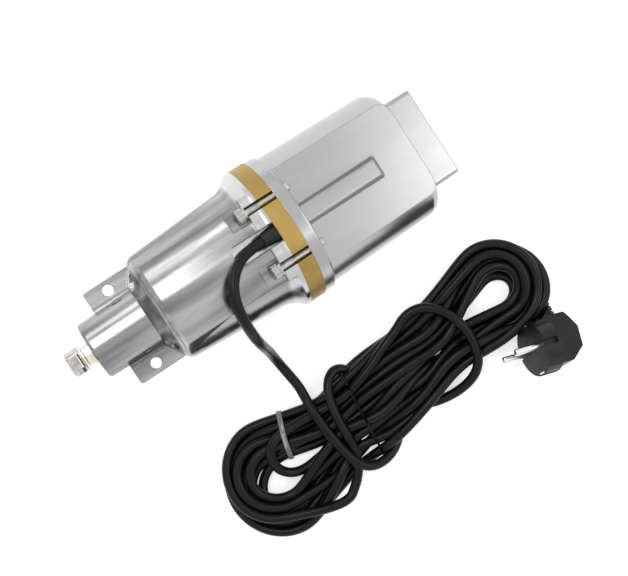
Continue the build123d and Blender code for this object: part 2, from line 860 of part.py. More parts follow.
PUMP_PIECES = {
    "pump_casing": make_pump_casing,
    "outlet_spigot": make_outlet_spigot,
    "clamp_band": make_clamp_band,
    "clamp_screw": make_clamp_screw,
    "spacer_ring": make_spacer_ring,
    "magnet_casing": make_magnet_casing,
    "casing_screws": make_casing_screws,
    "screw_washers": make_screw_washers,
    "cord_grommet": make_cord_grommet,
    "inner_leads": make_inner_leads,
    "magnet_core": make_magnet_core,
    "coil_bobbins": make_coil_bobbins,
    "coil_windings": make_coil_windings,
    "potting": make_potting,
    "armature": make_armature,
    "vibrator_rod": make_vibrator_rod,
    "rod_nuts": make_rod_nuts,
    "adjusting_washers": make_adjusting_washers,
    "piston_bush": make_piston_bush,
    "piston": make_piston,
    "shock_absorber": make_shock_absorber,
    "absorber_washers": make_absorber_washers,
    "distance_sleeve": make_distance_sleeve,
    "diaphragm": make_diaphragm,
    "diaphragm_washers": make_diaphragm_washers,
    "guide_ring": make_guide_ring,
    "inlet_valve_disc": make_inlet_valve_disc,
    "valve_washer": make_valve_washer,
    "valve_bolt": make_valve_bolt,
    "valve_nut": make_valve_nut,
}


def as_compound(made):
    """One shape from a piece, or from a list of pieces, that each hold one solid."""
    shapes = made if isinstance(made, list) else [made]
    return Compound([solid for shape in shapes for solid in shape.solids()])


def laid_place(pieces):
    """Where the pump lies on its flange's rim and its block's edge, centred on the origin."""
    angle = degrees(atan2(magnet_flange_radius - block_height / 2, block_end_x - drum_x))
    tilt = Rot(0, angle, 0)
    box = Compound([tilt * piece for piece in pieces.values()]).bounding_box()
    middle = box.center()
    print(f"pump laid down at {angle:.4f} degrees")
    return Pos(-middle.X, -middle.Y, -box.min.Z) * tilt


def lead_end():
    """Place on the hank's straight side where the cord's free stretch arrives."""
    lean = asin((hank_left_radius - hank_waist_radius) / (-hank_waist_place - hank_left_place))
    foot = Pos(hank_left_place, 0, lead_end_height) * Rot(0, 0, -degrees(lean))
    return hank_frame() * foot * Pos(lead_place, hank_left_radius, 0)


def lead_points(laid):
    """Route from the grommet's nose, out along its axis, down past the casing and to the hank."""
    nose = laid * Pos(-grommet_nose_length, 0, grommet_height)
    first = nose * Pos(-lead_first_run, 0, 0)
    end = lead_end()
    before_end = end * Pos(0, lead_last_run, 0)
    middle = [Vector(*point) for point in CORD_ROUTE]
    return [nose.position, first.position, *middle, before_end.position, end.position]


def corner_radii(points):
    """Radius of the tube at each corner: a share of the shorter run beside it."""
    radii = []
    for before, corner, after in zip(points, points[1:], points[2:]):
        turn = (corner - before).get_angle(after - corner)
        shorter = min((corner - before).length, (after - corner).length)
        radii.append(corner_share * shorter / tan(radians(turn / 2)))
    return radii


def cord_tube(points):
    """The cord's free stretch, with its radii and its length printed."""
    radii = corner_radii(points)
    print("cord radii", [round(radius, 1) for radius in radii])
    path = FilletPolyline(*points, radius=radii)
    start = Plane(origin=points[0], z_dir=points[1] - points[0])
    tube = sweep(start * Circle(cord_radius), path=path)
    swept = pi * cord_radius ** 2 * path.length
    print(f"cord length {path.length:.1f} mm, volume over section times length {tube.volume / swept:.4f}")
    return tube


def hank_frame():
    """Places a piece that is made about the hank's centre, with X along the hank."""
    return Pos(*hank_centre, 0) * Rot(0, 0, hank_angle)


def strap(place, across, slant, span, width, thickness, slack):
    """A closed strap round part of the hank's section, grown by the slack on every side."""
    section = Plane(origin=(0, 0, hank_height / 2), x_dir=(0, 1, 0), z_dir=(1, 0, 0))
    height = hank_height - 2 * hank_skin
    outer = RectangleRounded(span + 2 * slack, height + 2 * slack, strap_round)
    inset = 2 * (thickness + slack)
    inner = RectangleRounded(span - inset, height - inset, strap_round - 1)
    band = extrude(section * (outer - inner), width / 2 + slack, both=True)
    return Pos(place, across, 0) * Rot(0, 0, slant) * band


def hank_bundle():
    """The bundle of turns: a lobe at each end and a narrower waist, rounded above and below."""
    lobes = [
        Pos(hank_left_place, 0) * Circle(hank_left_radius),
        Pos(-hank_waist_place, 0) * Circle(hank_waist_radius),
        Pos(hank_waist_place, 0) * Circle(hank_waist_radius),
        Pos(hank_right_place, 0) * Circle(hank_right_radius),
    ]
    bundle = Part()
    for lobe, neighbour in zip(lobes, lobes[1:]):
        bundle += extrude(make_hull([*lobe.edges(), *neighbour.edges()]), hank_height)
    bundle = fillet(bundle.faces().sort_by(Axis.Z)[-1].edges(), hank_top_round)
    return fillet(bundle.faces().sort_by(Axis.Z)[0].edges(), hank_bottom_round)


def make_hank():
    """Outer shape of the hank, grooved for its ties and cut clear of the plug."""
    hank = hank_bundle()
    for name in HANK_TIES:
        hank -= strap(*HANK_TIES[name], soft_gap)
    return hank_frame() * hank - plug_frame() * plug_envelope()


def make_tie(name):
    return hank_frame() * strap(*HANK_TIES[name], 0)


def plug_frame():
    """Places a piece made with the plug's face at Z = 0, its pins along Z and its cord along X."""
    return Plane(origin=plug_place, x_dir=plug_cord_way, z_dir=plug_pin_way).location


def plug_back():
    """Cranked back of the plug, from its face to the neck that the cord leaves by."""
    low = -plug_face_radius * 0.84
    outline = [
        (low, -2), (low, -plug_depth * 0.62), (low * 0.5, -plug_depth * 0.94), (6, -plug_depth),
        (plug_heel_reach, -plug_depth * 0.88), (plug_neck_reach, -relief_depth - plug_neck_width / 2),
        (plug_neck_reach, -relief_depth + plug_neck_width / 2), (plug_heel_reach + 1, -2),
    ]
    half = plug_back_width / 2
    back = extrude(Plane.XZ * make_face(Polyline(*outline, close=True)), half, both=True)
    return fillet(back.edges().filter_by(Axis.Y), 1.6)


def plug_recesses():
    """Earth recesses in line with the cord, and guide grooves beside the pins."""
    earth_place = plug_face_radius
    cuts = both_ways(Pos(earth_place, 0, 0) * Box(
        2 * earth_recess, earth_width + 1, 2 * earth_length + 1))
    groove = Pos(0, plug_face_radius, 0) * Box(4, 5, 2 * plug_face_depth - 4)
    return cuts + [groove, Rot(0, 0, 180) * groove]


def both_ways(piece):
    """The piece and its twin across the plug's axis."""
    return [piece, Rot(0, 0, 180) * piece]


def make_plug_body():
    """Angled mains plug without its metal: round face, cranked back, recesses and grooves."""
    body = disc_down(plug_face_radius, plug_face_depth) + plug_back()
    for cut in plug_recesses():
        body -= cut
    for hole in make_plug_pins():
        body -= hole
    return body


def disc_down(radius, depth):
    return Cylinder(radius, depth, align=(Align.CENTER, Align.CENTER, Align.MAX))


def make_plug_pins():
    pin = Cylinder(pin_radius, pin_length, align=(Align.CENTER, Align.CENTER, Align.MIN))
    pin = fillet(pin.edges().sort_by(Axis.Z)[-1], pin_radius * 0.6)
    return both_ways(Pos(0, pin_spacing / 2, 0) * pin)


def make_earth_clips():
    place = plug_face_radius - earth_recess + earth_thickness / 2
    clip = Box(earth_thickness, earth_width, earth_length, align=(Align.CENTER, Align.CENTER, Align.MAX))
    return both_ways(Pos(place, 0, 0) * clip)


def make_plug_relief():
    """Ribbed strain relief: a taper with rings, along the cord from the plug's neck."""
    standing = (Align.CENTER, Align.CENTER, Align.MIN)
    taper = Cone(relief_root_radius, relief_tip_radius, relief_length, align=standing)
    pitch = relief_length / relief_rings
    for index in range(1, relief_rings):
        radius = relief_root_radius + (relief_tip_radius - relief_root_radius) * index / relief_rings
        gap = Cylinder(radius + 2, pitch * 0.4) - Cylinder(radius - relief_groove, pitch * 0.4)
        taper -= Pos(0, 0, index * pitch) * gap
    return Pos(plug_neck_reach, 0, -relief_depth) * Rot(0, 90, 0) * taper


def plug_envelope():
    """Room left in the hank for the plug's body, pins and strain relief."""
    reach = plug_neck_reach + 1
    width = plug_face_radius + 1.5
    body = Pos((reach - width) / 2, 0, -plug_depth / 2) * Box(reach + width, 2 * width, plug_depth + 6)
    pins = Pos(0, 0, pin_length / 2) * Box(3 * pin_radius, pin_spacing + 3 * pin_radius, pin_length + 4)
    return body + pins


def make_cord_pieces(laid):
    """The cord's own pieces and the plug, where they lie beside the pump."""
    frame = plug_frame()
    hank = make_hank()
    relief = (frame * make_plug_relief() - hank).solids().sort_by(SortBy.VOLUME)[-1]
    pieces = {"cord_tube": cord_tube(lead_points(laid)), "cord_hank": hank}
    pieces |= {name: make_tie(name) for name in HANK_TIES}
    pieces |= {
        "plug_body": frame * make_plug_body(),
        "plug_pins": [frame * pin for pin in make_plug_pins()],
        "plug_earth_clips": [frame * clip for clip in make_earth_clips()],
        "plug_relief": relief,
    }
    return {name: as_compound(piece) for name, piece in pieces.items()}


def main():
    os.makedirs("parts", exist_ok=True)
    pieces = {name: as_compound(make()) for name, make in PUMP_PIECES.items()}
    laid = laid_place(pieces)
    pieces = {name: laid * piece for name, piece in pieces.items()} | make_cord_pieces(laid)
    for name, piece in pieces.items():
        export_step(piece, f"parts/{name}.step")


main()
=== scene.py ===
import json
from math import acos, atan2, cos, degrees, hypot, pi, radians, sin

import bmesh
import bpy
import numpy as np
from mathutils import Matrix, Vector


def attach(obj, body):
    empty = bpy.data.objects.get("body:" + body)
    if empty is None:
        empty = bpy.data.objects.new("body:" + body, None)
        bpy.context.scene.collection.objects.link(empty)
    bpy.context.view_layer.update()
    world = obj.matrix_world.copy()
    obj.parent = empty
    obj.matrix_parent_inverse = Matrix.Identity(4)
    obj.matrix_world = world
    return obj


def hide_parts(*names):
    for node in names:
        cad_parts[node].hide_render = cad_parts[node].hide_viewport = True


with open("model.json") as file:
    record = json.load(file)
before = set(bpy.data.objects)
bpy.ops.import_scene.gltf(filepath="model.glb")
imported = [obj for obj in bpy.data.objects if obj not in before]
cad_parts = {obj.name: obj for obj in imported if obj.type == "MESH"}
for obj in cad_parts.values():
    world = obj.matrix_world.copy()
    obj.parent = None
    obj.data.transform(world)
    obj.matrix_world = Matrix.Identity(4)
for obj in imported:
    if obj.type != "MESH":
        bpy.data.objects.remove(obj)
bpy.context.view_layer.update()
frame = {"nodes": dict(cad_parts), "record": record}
nodes = frame["nodes"]
MM = 0.001

# The cord in millimetres: its free stretch on part.py's route, then the hank along and across itself.

CORD_RADIUS = 3.4
ROUTE = [
    (8.206, 0.0, 95.269), (-1.842, 0.0, 97.022), (-11.0, -3.2, 101.6), (-18.6, -9.8, 105.6),
    (-23.7, -18.6, 106.9), (-26.2, -28.6, 105.0), (-27.3, -38.0, 98.8), (-27.9, -45.8, 89.2),
    (-28.3, -51.8, 77.2), (-28.7, -56.2, 63.0), (-29.0, -60.0, 48.4), (-29.3, -65.2, 35.8),
    (-29.4, -73.0, 25.8), (-28.8, -82.8, 18.8), (-27.4, -94.9, 16.0), (-28.2, -105.9, 16.0),
]
HANK_CENTRE = (27.75, -130.0)
HANK_ANGLE = radians(8.8)
HANK_HEIGHT = 24.0
LOW = 3.6
TOP = 19.8

# The hank's line starts on the route's last stretch, so the cord leaves out this many of its points
SHARED_POINTS = 3

# Each turn's loops: place along the hank, place across it, radius
LEFT_LOOPS = [
    (-103, 8.5, 29.5), (-104.5, -2, 28.5), (-104.5, 2, 30.5), (-103, 8.5, 24.5),
    (-104.5, -2.5, 23.5), (-103.5, 3, 26), (-101, 7, 20.5), (-99, -3, 21.5),
]
RIGHT_LOOPS = [
    (98.5, 2, 26), (98, -3, 25.5), (98.5, -0.5, 27), (97.5, 3, 21.5),
    (96, -4, 20.5), (96, 0.5, 22.5), (96, 3, 17), (95, -3, 16.5),
]
LOOP_HEIGHTS = (17.2, 3.6, 10.4, 17.2, 3.6, 10.4, 12, 5)
POINTS_PER_LOOP = 10
LEAST_REACH = 1.05

# Each turn's runs through the waist: lane as a share of the edge's place, height, twist and waver
LANES = (1.0, 0.96, 0.76, 0.7, 0.48, 0.42, 0.16, 0.12)
LANE_HEIGHTS = (10.4, 3.6, 10.4, 3.6, 10.4, 3.6, 15.5, 5.0)
UPPER_EDGE = ((-52, 20.5), (-22, 21), (12, 20), (46, 18))
LOWER_EDGE = ((46, 18.5), (12, 21), (-22, 22.5), (-52, 24))
TWIST = 6.0
WAVER = 2.4
WAVER_SEED = 11

# The wraps round the hank, the small loop between them and the tail under it
LEAD_OVER = [
    (-52.8, 21, 20), (-53.4, 10, 23), (-53.1, -1, 24), (-52.2, -12.6, 24), (-49.5, -22, 20),
    (-43, -28.6, 13.5), (-33.5, -31, 8.5), (-24, -27.5, 5), (-17.5, -19, LOW), (-14.5, -7, LOW),
    (-14.5, 8, LOW), (-15.5, 21, 4.5),
]
LEFT_WRAP = [
    (-19, 28.5, 9), (-24.8, 32, 15), (-32, 30.6, 19), (-38, 25.4, 19), (-43.8, 15.8, 17.5),
    (-48.8, 4.4, 16.5), (-54, -9.8, 16), (-59, -20.5, 15.5), (-64.8, -28.3, 14), (-72.5, -33.6, 11),
    (-81, -36.2, 7),
]
SMALL_LOOP = [
    (-59.3, -7.7, 7.5), (-67.9, -7.5, 10), (-81.4, -7.3, 13), (-91.8, -2.3, 15), (-96.8, 6.1, 15),
    (-97.2, 14, 15), (-93.3, 21.8, 15), (-85.3, 27.2, 15), (-60, 24, 16), (-35, 18, 16), (-10, 20, 16),
    (10, 25, 17),
]
RIGHT_WRAP = [
    (25.3, 27.4, 19), (32.2, 30.6, 19), (40.5, 30.6, 19), (49.5, 27, TOP), (57.5, 15.8, TOP),
    (59.7, 1.8, TOP), (57.7, -11.1, TOP), (53, -21.7, 18), (45.7, -28.5, 13), (35, -31, 8),
    (24, -29.5, 5), (12.5, -24.5, LOW), (5, -15, LOW), (4, -3, LOW), (11, 6.5, LOW),
]
TAIL_UNDER = [
    (25, 10, LOW), (50, 12, LOW), (75, 15, LOW), (95, 19, LOW), (110, 17.5, LOW), (118.5, 9.5, LOW),
    (121.3, 0, LOW), (119.8, -8.5, 3.9), (117.2, -14.6, 4.6), (114.8, -19.7, 6.1), (113.4, -23.2, 7.3),
]

# How the turns settle against each other: held near their places at first, and then more freely
CORD_STEP = 6.6
SETTLE_ROUNDS = 800
SETTLE_HOLD_SHARE = 0.7
ROUNDS_PER_SEARCH = 8
NEIGHBOURS = 3
CORD_GAP = 0.12
FLOOR_GAP, TOP_GAP = 0.02, 0.15
LEAST_DISTANCE = 1e-6
LONGEST_STEP = 1.5
SINKING = 0.04

# Shares of an overlap, a strayed way, an uneven place and a bend that one round takes away
PUSH_HELD, PUSH_FREE = 0.3, 0.42
PULL_HELD, PULL_FREE = 0.012, 0.0024
EVENING = 0.2
STRAIGHTENING = 0.03
UPWARD_PUSH = 1.4

# How a push on one point spreads to its neighbours along the cord
STIFFNESS = np.array([1, 3, 5, 6, 5, 3, 1]) / 24 * 2.2

# The ties, from end to end across the strands they hold
STRAP_TIE = ((-72.0, 39.0), (-87.4, 8.0))
WIRE_TIE = ((-22.8, 27.5), (-36.8, -29.0))
STRAP_SECTION = (3.4, 1.1)
WIRE_SECTION = (1.5, 1.5)
TIE_CLEARANCE = 0.1
TIE_FLOOR_GAP = 0.05
TIE_EDGE_SHARE = 0.3
HULL_CORNERS = 24

# How the pump lies, and its casing screws' heads in millimetres along its own axis and off it
PUMP_TILT = radians(9.899)
PUMP_PLACE = (10.63, 0, 50.993)
SCREW_CIRCLE = 44.5
SCREW_ANGLE = radians(26)
HEAD_START, HEAD_END = -15.1, -11.0
HEAD_RADIUS = 4.25
FLUTES = 16
FLUTE_RISE, FLUTE_FALL = 0.4, 0.05
FLUTE_SEAT = 0.6


def to_hank(point):
    """Hank coordinates of a point on the floor's own axes."""
    out, across = point[0] - HANK_CENTRE[0], point[1] - HANK_CENTRE[1]
    turn, slope = cos(HANK_ANGLE), sin(HANK_ANGLE)
    return (out * turn + across * slope, across * turn - out * slope, point[2])


def from_hank(points):
    """Places on the floor's own axes of points in hank coordinates."""
    points = np.array(points, float)
    along, across = points[:, 0].copy(), points[:, 1].copy()
    points[:, 0] = along * cos(HANK_ANGLE) - across * sin(HANK_ANGLE) + HANK_CENTRE[0]
    points[:, 1] = along * sin(HANK_ANGLE) + across * cos(HANK_ANGLE) + HANK_CENTRE[1]
    return points


def tangent_angle(point, loop, side):
    """Angle round a loop at which a run to or from a point touches it."""
    along, across, radius = loop
    run_along, run_across = point[0] - along, point[1] - across
    reach = max(hypot(run_along, run_across), radius * LEAST_REACH)
    return degrees(atan2(run_across, run_along) + side * acos(radius / reach))


def loop_points(before, loop, after, height):
    """Points round a loop, which the runs before and after it meet without a corner."""
    along, across, radius = loop
    start = tangent_angle(before, loop, -1) % 360
    end = tangent_angle(after, loop, 1) % 360
    if end > start:
        end -= 360
    angles = np.radians(np.linspace(start, end, POINTS_PER_LOOP))
    return [(along + radius * cos(angle), across + radius * sin(angle), height) for angle in angles]


def run_points(edge, side, lanes, heights, twist, chance):
    """A run through the waist, from one lane and height to the next, a little wavy."""
    points = []
    for place, (along, width) in enumerate(edge):
        share = place / (len(edge) - 1)
        lane = lanes[0] + (lanes[1] - lanes[0]) * share
        height = heights[0] + (heights[1] - heights[0]) * share
        sway = twist * (1 - 2 * share) + chance.uniform(-WAVER, WAVER)
        points.append((along, side * lane * width + (1 - lane) * sway, height))
    return points


def turn_points(index, before, chance):
    """One turn: the left loop, the upper run, the right loop and the lower run."""
    following = min(index + 1, len(LANES) - 1)
    twist = TWIST if index % 2 == 0 else -TWIST
    lane, next_lane = LANES[index], LANES[following]
    flat, next_flat = LANE_HEIGHTS[index], LANE_HEIGHTS[following]
    upper = run_points(UPPER_EDGE, 1, (lane, lane), (flat, flat), twist, chance)
    lower = run_points(LOWER_EDGE, -1, (lane, next_lane), (flat, next_flat), twist, chance)
    left = loop_points(before, LEFT_LOOPS[index], upper[0], LOOP_HEIGHTS[index])
    right = loop_points(upper[-1], RIGHT_LOOPS[index], lower[0], LOOP_HEIGHTS[index])
    return [*left, *upper, *right, *lower]


def hank_points():
    """The hank from where the cord reaches it to where it enters the plug."""
    chance = np.random.default_rng(WAVER_SEED)
    points = [to_hank(ROUTE[-2]), to_hank(ROUTE[-1]), *LEAD_OVER, *LEFT_WRAP]
    for index in range(len(LEFT_LOOPS)):
        points += turn_points(index, points[-1], chance)
    return np.array([*points, *SMALL_LOOP, *RIGHT_WRAP, *TAIL_UNDER], float)


def rounded(points, steps=8):
    """A smooth line through points, a Catmull-Rom spline."""
    padded = np.vstack([2 * points[0] - points[1], points, 2 * points[-1] - points[-2]])
    share = np.linspace(0, 1, steps, endpoint=False)[:, None]
    pieces = []
    for a, b, c, d in zip(padded, padded[1:], padded[2:], padded[3:]):
        even = 2 * b + (c - a) * share
        square = (2 * a - 5 * b + 4 * c - d) * share**2
        cube = (3 * b - 3 * c + d - a) * share**3
        pieces.append((even + square + cube) / 2)
    return np.vstack([*pieces, points[-1:]])


def evenly_spaced(points, spacing):
    """Points at one spacing along a line."""
    runs = np.linalg.norm(np.diff(points, axis=0), axis=1)
    travelled = np.concatenate([[0], np.cumsum(runs)])
    places = np.linspace(0, travelled[-1], round(travelled[-1] / spacing) + 1)
    return np.stack([np.interp(places, travelled, points[:, axis]) for axis in range(3)], axis=1)


def near_pairs(line, reach):
    """Pairs of points within reach of each other that aren't neighbours along the cord."""
    gap = np.linalg.norm(line[:, None, :] - line[None, :, :], axis=2)
    first, second = np.nonzero(gap < reach)
    apart = second - first > NEIGHBOURS
    return first[apart], second[apart]


def contact_push(line, first, second, strength):
    """How far each point moves to be clear of the strands that it touches."""
    gap = line[first] - line[second]
    distance = np.linalg.norm(gap, axis=1) + LEAST_DISTANCE
    short = np.clip(2 * CORD_RADIUS + CORD_GAP - distance, 0, None) / distance * strength
    shift = gap * short[:, None] * (1, 1, UPWARD_PUSH)
    push = np.zeros_like(line)
    np.add.at(push, first, shift)
    np.add.at(push, second, -shift)
    return np.stack([np.convolve(push[:, axis], STIFFNESS, "same") for axis in range(3)], axis=1)


def settled(line):
    """Lets the turns push each other aside and sink until they lie a cord's width apart."""
    line, home = line.copy(), line.copy()
    free = np.ones((len(line), 1))
    free[:2] = free[-3:] = 0
    for number in range(SETTLE_ROUNDS):
        held = number < SETTLE_HOLD_SHARE * SETTLE_ROUNDS
        if number % ROUNDS_PER_SEARCH == 0:
            first, second = near_pairs(line, 4 * CORD_RADIUS)
        push = contact_push(line, first, second, PUSH_HELD if held else PUSH_FREE)
        pull = PULL_HELD if held else PULL_FREE
        strayed = line - home
        bend = np.zeros_like(line)
        bend[2:-2] = line[:-4] - 4 * line[1:-3] + 6 * line[2:-2] - 4 * line[3:-1] + line[4:]
        middle = (np.roll(strayed, 1, 0) + np.roll(strayed, -1, 0)) / 2
        level = (np.roll(line[:, 2], 1) + np.roll(line[:, 2], -1)) / 2
        push[:, :2] += (EVENING * (middle - strayed) - pull * strayed)[:, :2]
        push[:, 2] += EVENING * (level - line[:, 2]) - SINKING
        push -= STRAIGHTENING * bend
        line += np.clip(push, -LONGEST_STEP, LONGEST_STEP) * free
        line[:, 2] = np.clip(line[:, 2], CORD_RADIUS + FLOOR_GAP, HANK_HEIGHT - CORD_RADIUS - TOP_GAP)
    return line


def link(name, data):
    piece = bpy.data.objects.new(name, data)
    bpy.context.scene.collection.objects.link(piece)
    return piece


def nurbs_cord(name, points):
    """The cord as one spline; each point's radius is the cord's own."""
    curve = bpy.data.curves.new(name, "CURVE")
    curve.dimensions = "3D"
    curve.bevel_depth = 1
    curve.bevel_resolution = 5
    curve.resolution_u = 4
    curve.use_fill_caps = True
    spline = curve.splines.new("NURBS")
    spline.points.add(len(points) - 1)
    for control, point in zip(spline.points, points):
        control.co = (*(Vector(point) * MM), 1)
        control.radius = CORD_RADIUS * MM
    spline.order_u = 3
    spline.use_endpoint_u = True
    return link(name, curve)


def strands_crossing(line, start, end):
    """Where strands pass through the upright plane of a tie: places along it, and heights."""
    way = np.array(end) - np.array(start)
    length = np.linalg.norm(way)
    way = way / length
    offset = line[:, :2] - np.array(start)
    aside = offset[:, 0] * way[1] - offset[:, 1] * way[0]
    along = offset @ way
    found = []
    for k in np.nonzero(aside[:-1] * aside[1:] < 0)[0]:
        share = aside[k] / (aside[k] - aside[k + 1])
        place = along[k] + (along[k + 1] - along[k]) * share
        if 0 < place < length:
            found.append((place, line[k, 2] + (line[k + 1, 2] - line[k, 2]) * share))
    return found, way


def hull_round(centres, radius):
    """Outline of a band drawn tight round circles of one radius."""
    angles = np.linspace(0, 2 * pi, HULL_CORNERS, endpoint=False)
    ring = [(radius * cos(angle), radius * sin(angle)) for angle in angles]
    points = sorted((x + dx, y + dy) for x, y in centres for dx, dy in ring)
    sides = []
    for run in (points, points[::-1]):
        side = []
        for point in run:
            while len(side) > 1 and turns_left(side[-2], side[-1], point) <= 0:
                side.pop()
            side.append(point)
        sides += side[:-1]
    return sides


def turns_left(a, b, c):
    """More than nothing where the way from a through b to c turns left."""
    return (b[0] - a[0]) * (c[1] - a[1]) - (b[1] - a[1]) * (c[0] - a[0])


def strap_round(name, line, ends, section):
    """A closed band of oblong section, drawn round the strands between two ends."""
    centres, way = strands_crossing(line, *ends)
    width, thickness = section
    rim = hull_round(centres, CORD_RADIUS + thickness / 2 + TIE_CLEARANCE)
    middle = np.mean(rim, axis=0)
    shape = bmesh.new()
    rings = []
    for along, height in rim:
        outward = Vector((along - middle[0], height - middle[1])).normalized() * thickness / 2
        ring = []
        for side, lift in ((-1, -1), (1, -1), (1, 1), (-1, 1)):
            place = along + outward.x * lift
            up = max(height + outward.y * lift, TIE_FLOOR_GAP)
            spot = np.array(ends[0]) + way * place + np.array((way[1], -way[0])) * side * width / 2
            spot = from_hank([(spot[0], spot[1], up)])[0]
            ring.append(shape.verts.new(Vector(spot) * MM))
        rings.append(ring)
    for ring, following in zip(rings, rings[1:] + rings[:1]):
        for k in range(4):
            shape.faces.new((ring[k], ring[(k + 1) % 4], following[(k + 1) % 4], following[k]))
    bmesh.ops.recalc_face_normals(shape, faces=shape.faces)
    mesh = bpy.data.meshes.new(name)
    shape.to_mesh(mesh)
    shape.free()
    for face in mesh.polygons:
        face.use_smooth = True
    piece = link(name, mesh)
    bevel = piece.modifiers.new("edges", "BEVEL")
    bevel.width = min(section) * TIE_EDGE_SHARE * MM
    bevel.segments = 2
    bevel.limit_method = "ANGLE"
    return piece


def fluted_sleeve(shape, centre):
    """The flutes round one screw's head, as a thin sleeve on it."""
    steps = 4 * FLUTES
    loops = []
    for along in (HEAD_START, HEAD_END):
        for rises in (True, False):
            loop = []
            for k in range(steps):
                rise = FLUTE_RISE if k % 4 < 2 else FLUTE_FALL
                radius = HEAD_RADIUS + (rise if rises else -FLUTE_SEAT)
                angle = 2 * pi * k / steps
                spot = Vector((along, centre[0] + radius * cos(angle), centre[1] + radius * sin(angle)))
                loop.append(shape.verts.new(spot * MM))
            loops.append(loop)
    near_rim, near_bore, far_rim, far_bore = loops
    bands = ((near_rim, far_rim), (far_bore, near_bore), (near_bore, near_rim), (far_rim, far_bore))
    for one, other in bands:
        for k in range(steps):
            following = (k + 1) % steps
            shape.faces.new((one[k], one[following], other[following], other[k]))


def screw_flutes():
    """The fluted sleeves of the four casing screws, laid along the tilted pump."""
    shape = bmesh.new()
    for upward in (1, -1):
        for side in (1, -1):
            centre = (side * SCREW_CIRCLE * sin(SCREW_ANGLE), upward * SCREW_CIRCLE * cos(SCREW_ANGLE))
            fluted_sleeve(shape, centre)
    bmesh.ops.recalc_face_normals(shape, faces=shape.faces)
    laid = Matrix.Translation(Vector(PUMP_PLACE) * MM) @ Matrix.Rotation(PUMP_TILT, 4, "Y")
    bmesh.ops.transform(shape, matrix=laid, verts=shape.verts)
    mesh = bpy.data.meshes.new("screw_flutes")
    shape.to_mesh(mesh)
    shape.free()
    return link("screw_flutes", mesh)


hank = settled(evenly_spaced(rounded(hank_points()), CORD_STEP))
cord = nurbs_cord("mains_cord", [*ROUTE, *from_hank(hank)[SHARED_POINTS:]])
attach(cord, "pump")
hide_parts("cord_tube", "cord_hank")

strap_tie = strap_round("strap_tie", hank, STRAP_TIE, STRAP_SECTION)
wire_tie = strap_round("wire_round_hank", hank, WIRE_TIE, WIRE_SECTION)
for piece, node, slot in ((strap_tie, "cable_tie", "tie_plastic"), (wire_tie, "wire_tie", "tie_wire")):
    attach(piece, "pump")
    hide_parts(node)

flutes = screw_flutes()
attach(flutes, "pump")

# The materials.

SWELL_SCALE = 55
LINE_DISTORTION = 0.4

# Sockets of a Mix node that mixes colours
MIX_SHARE, MIX_DARK, MIX_LIGHT = 0, 6, 7
MIX_COLOUR = 2

# Where the painted highlight on the flange begins along the pump, in millimetres, and how much of the
# highlight colour the flange takes
FLANGE_START, FLANGE_FULL = -9.0, -6.5
FLANGE_HIGHLIGHT_SHARE = 0.75
FLANGE_HIGHLIGHT_COLOUR = (0.62, 0.62, 0.625)


def noise(tree, place, scale, detail):
    texture = tree.nodes.new("ShaderNodeTexNoise")
    texture.inputs["Scale"].default_value = scale
    texture.inputs["Detail"].default_value = detail
    tree.links.new(place, texture.inputs["Vector"])
    return texture.outputs["Fac"]


def spread(tree, value, low, high, start=0.3, end=0.7):
    """A value of a noise, from start to end, stretched from low to high."""
    change = tree.nodes.new("ShaderNodeMapRange")
    change.inputs["From Min"].default_value = start
    change.inputs["From Max"].default_value = end
    change.inputs["To Min"].default_value = low
    change.inputs["To Max"].default_value = high
    tree.links.new(value, change.inputs["Value"])
    return change.outputs["Result"]


def colour_between(tree, value, dark, light):
    mix = tree.nodes.new("ShaderNodeMix")
    mix.data_type = "RGBA"
    mix.inputs[MIX_DARK].default_value = (*dark, 1)
    mix.inputs[MIX_LIGHT].default_value = (*light, 1)
    tree.links.new(value, mix.inputs[MIX_SHARE])
    return mix.outputs[MIX_COLOUR]


def relief(tree, height, depth, below=None):
    """A normal with bumps of one depth, on top of the normal below."""
    bump = tree.nodes.new("ShaderNodeBump")
    bump.inputs["Distance"].default_value = depth
    tree.links.new(height, bump.inputs["Height"])
    if below:
        tree.links.new(below, bump.inputs["Normal"])
    return bump.outputs["Normal"]


def soft_edges(tree, radius):
    """A normal that catches the light on edges as if they were rounded."""
    bevel = tree.nodes.new("ShaderNodeBevel")
    bevel.samples = 4
    bevel.inputs["Radius"].default_value = radius
    return bevel.outputs["Normal"]


def along_pump(tree, place, stretch):
    """Places drawn out along the pump's own axis, so that patches become streaks along it."""
    change = tree.nodes.new("ShaderNodeMapping")
    change.vector_type = "TEXTURE"
    change.inputs["Rotation"].default_value = (0, PUMP_TILT, 0)
    change.inputs["Scale"].default_value = (stretch, 1, 1)
    tree.links.new(place, change.inputs["Vector"])
    return change.outputs["Vector"]


def surface(
        name, dark, light, metallic, polish, patch, grain, depth,
        edge=0.0, swell=0.0, stretch=1, gloss=0.5):
    """A material whose colour and polish vary in patches, with a fine grain in relief."""
    material = bpy.data.materials.new(name)
    material.use_nodes = True
    tree = material.node_tree
    shader = tree.nodes["Principled BSDF"]
    shader.inputs["Metallic"].default_value = metallic
    shader.inputs["Specular IOR Level"].default_value = gloss
    place = tree.nodes.new("ShaderNodeTexCoord").outputs["Object"]
    drawn = along_pump(tree, place, stretch)
    patches = noise(tree, drawn, patch, 5)
    colour = colour_between(tree, spread(tree, patches, 0, 1), dark, light)
    tree.links.new(colour, shader.inputs["Base Color"])
    tree.links.new(spread(tree, noise(tree, drawn, patch * 2.3, 4), *polish), shader.inputs["Roughness"])
    normal = soft_edges(tree, edge) if edge else None
    if swell:
        normal = relief(tree, noise(tree, drawn, SWELL_SCALE, 1), swell, normal)
    normal = relief(tree, noise(tree, place, grain, 3), depth, normal)
    tree.links.new(normal, shader.inputs["Normal"])
    return material


